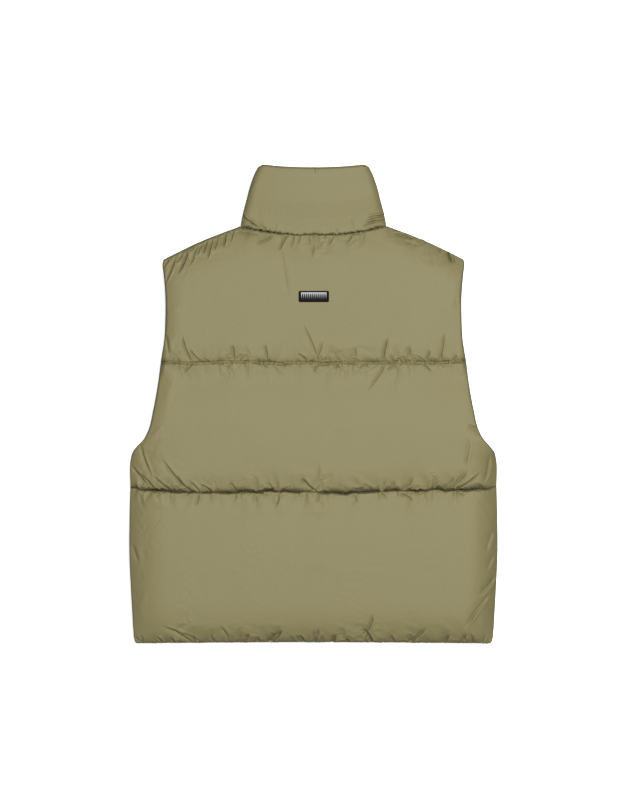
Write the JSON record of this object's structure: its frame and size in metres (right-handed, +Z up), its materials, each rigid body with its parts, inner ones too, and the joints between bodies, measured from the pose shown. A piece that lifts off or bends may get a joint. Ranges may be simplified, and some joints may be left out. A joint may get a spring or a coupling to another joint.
{
  "type": "puffer vest",
  "caption": "Sleeveless quilted puffer vest lying face down, with wide padded channels, a stand collar, a front zip and a plain badge below the neck.",
  "frame": {"origin": "on the surface the vest lies on, under the middle of its overall box", "axes": "+X is the wearer's right, +Y runs from the hem to the collar, +Z is up, out of the vest's back"},
  "size_m": [0.5636, 0.7312, 0.0644],
  "materials": {
    "shell_fabric": "olive woven nylon with a soft sheen",
    "zip_tape": "matt woven tape, a darker olive",
    "zip_teeth": "satin moulded plastic, dark olive",
    "zip_metal": "dark satin metal",
    "badge_rubber": "smooth black rubber",
    "badge_inset": "bright satin metal with fine upright ribs"
  },
  "bodies": {
    "vest": {"back_yoke": "shell_fabric", "back_middle": "shell_fabric", "back_lower": "shell_fabric", "front_left_yoke": "shell_fabric", "front_left_middle": "shell_fabric", "front_left_lower": "shell_fabric", "front_right_yoke": "shell_fabric", "front_right_middle": "shell_fabric", "front_right_lower": "shell_fabric", "collar": "shell_fabric", "zip_tape_left": "zip_tape", "zip_tape_right": "zip_tape", "zip_teeth": "zip_teeth", "zip_box": "zip_teeth", "zip_slider": "zip_metal", "badge_plate": "badge_rubber", "badge_inset": "badge_inset"},
    "pull": {"zip_pull": "zip_metal"}
  },
  "joints": [
    {"name": "zip_pull_hinge", "type": "hinge", "parent": "vest", "child": "pull", "pos_m": [0, 0.304, 0.0124], "axis": [1, 0, 0], "range_deg": [-20, 140]}
  ]
}
